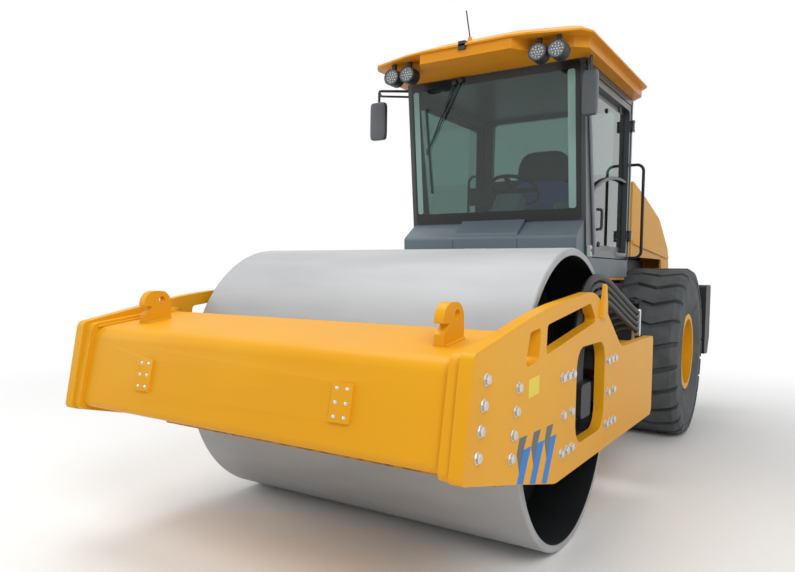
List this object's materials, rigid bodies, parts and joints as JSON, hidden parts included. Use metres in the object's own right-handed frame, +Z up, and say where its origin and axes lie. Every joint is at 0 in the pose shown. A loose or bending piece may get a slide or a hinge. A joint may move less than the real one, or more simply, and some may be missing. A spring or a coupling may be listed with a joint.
{
  "type": "road roller",
  "caption": "Articulated soil compactor: one smooth vibratory drum in a plate frame, closed cab, two treaded tyres, and an oscillating steering hitch.",
  "frame": {"origin": "on the ground, at the middle of the overall length and width", "axes": "-Y is forward, the drum end; +X is the machine's left; +Z is up"},
  "size_m": [2.426, 6.6906, 3.546],
  "materials": {
    "body_yellow": "glossy yellow paint",
    "roof_orange": "orange-yellow painted roof",
    "drum_steel": "rolled steel shell",
    "frame_black": "satin black paint",
    "cowl_grey": "blue-grey moulding",
    "pillar_grey": "dark grey paint",
    "tyre_rubber": "tyre rubber",
    "block_rubber": "moulded rubber",
    "cylinder_steel": "chromed rod",
    "cab_glass": "tinted glass",
    "scraper_rust": "worn yellow paint over rust",
    "engine_iron": "cast iron",
    "seat_fabric": "dark grey cloth",
    "trim_plastic": "dark grey plastic",
    "lamp_lens": "clear lens"
  },
  "bodies": {
    "rear_frame": {"rear_chassis": "body_yellow", "rear_axle": "frame_black", "engine_block": "engine_iron", "cooler": "frame_black", "engine_bay": "frame_black", "counterweight": "frame_black", "side_tank_left": "frame_black", "side_tank_right": "frame_black", "steps_left": "frame_black", "steps_right": "frame_black", "cab_base": "cowl_grey", "front_cowl": "cowl_grey", "cab_frame": "pillar_grey", "windscreen": "cab_glass", "side_glass": "cab_glass", "rear_glass": "cab_glass", "cab_roof": "roof_orange", "work_lamps": "lamp_lens", "mirrors": "trim_plastic", "handrails": "frame_black", "seat": "seat_fabric", "steering_console": "trim_plastic", "steering_wheel": "trim_plastic", "aerial": "trim_plastic"},
    "hitch": {"hitch": "frame_black"},
    "drum_frame": {"side_plate_left": "body_yellow", "side_plate_right": "body_yellow", "front_beam": "body_yellow", "lifting_hooks": "body_yellow", "front_scraper": "scraper_rust", "rear_scraper": "scraper_rust", "cross_beam": "body_yellow", "rubber_blocks_left": "block_rubber", "rubber_blocks_right": "block_rubber", "drum_carrier_left": "frame_black", "drum_carrier_right": "frame_black", "drum_motor_left": "frame_black", "drum_motor_right": "frame_black", "drum_hoses": "block_rubber", "hose_clamp": "cylinder_steel"},
    "drum": {"drum": "drum_steel"},
    "wheel_left": {"tyre_left": "tyre_rubber", "rim_left": "body_yellow"},
    "wheel_right": {"tyre_right": "tyre_rubber", "rim_right": "body_yellow"},
    "barrel_left": {"steering_barrel_left": "frame_black"},
    "barrel_right": {"steering_barrel_right": "frame_black"},
    "rod_left": {"steering_rod_left": "cylinder_steel"},
    "rod_right": {"steering_rod_right": "cylinder_steel"},
    "door_left": {"door_left": "pillar_grey", "door_glass_left": "cab_glass"},
    "hood": {"hood": "body_yellow", "hood_grille": "frame_black"}
  },
  "joints": [
    {"name": "steering", "type": "hinge", "parent": "rear_frame", "child": "hitch", "pos_m": [0, 0.255, 0.78], "axis": [0, 0, 1], "range_deg": [-33, 33]},
    {"name": "oscillation", "type": "hinge", "parent": "hitch", "child": "drum_frame", "pos_m": [0, -0.095, 0.78], "axis": [0, 1, 0], "range_deg": [-12, 12]},
    {"name": "drum_roll", "type": "hinge", "parent": "drum_frame", "child": "drum", "pos_m": [0, -1.645, 0.85], "axis": [1, 0, 0], "continuous": true},
    {"name": "wheel_left_roll", "type": "hinge", "parent": "rear_frame", "child": "wheel_left", "pos_m": [0.895, 1.985, 0.807], "axis": [1, 0, 0], "continuous": true},
    {"name": "wheel_right_roll", "type": "hinge", "parent": "rear_frame", "child": "wheel_right", "pos_m": [-0.895, 1.985, 0.807], "axis": [1, 0, 0], "continuous": true},
    {"name": "barrel_left_swing", "type": "hinge", "parent": "rear_frame", "child": "barrel_left", "pos_m": [0.24, 0.955, 0.78], "axis": [0, 0, 1], "range_deg": [-6, 6]},
    {"name": "barrel_right_swing", "type": "hinge", "parent": "rear_frame", "child": "barrel_right", "pos_m": [-0.24, 0.955, 0.78], "axis": [0, 0, 1], "range_deg": [-6, 6]},
    {"name": "rod_left_stroke", "type": "slide", "parent": "barrel_left", "child": "rod_left", "axis": [0, -1, 0], "range_m": [-0.14, 0.14]},
    {"name": "rod_right_stroke", "type": "slide", "parent": "barrel_right", "child": "rod_right", "axis": [0, -1, 0], "range_m": [-0.14, 0.14]},
    {"name": "door_left_hinge", "type": "hinge", "parent": "rear_frame", "child": "door_left", "pos_m": [0.755, 1.261, 2.4], "axis": [0, 0, 1], "range_deg": [0, 80]},
    {"name": "hood_hinge", "type": "hinge", "parent": "rear_frame", "child": "hood", "pos_m": [0, 1.407, 2.36], "axis": [1, 0, 0], "range_deg": [0, 45]}
  ],
  "couplings": [
    {"joint": "barrel_left_swing", "follows": "steering", "ratio": 0.0922},
    {"joint": "barrel_right_swing", "follows": "steering", "ratio": 0.0922},
    {"joint": "rod_left_stroke", "follows": "steering", "m_per_rad": -0.2339},
    {"joint": "rod_right_stroke", "follows": "steering", "m_per_rad": 0.2339}
  ]
}
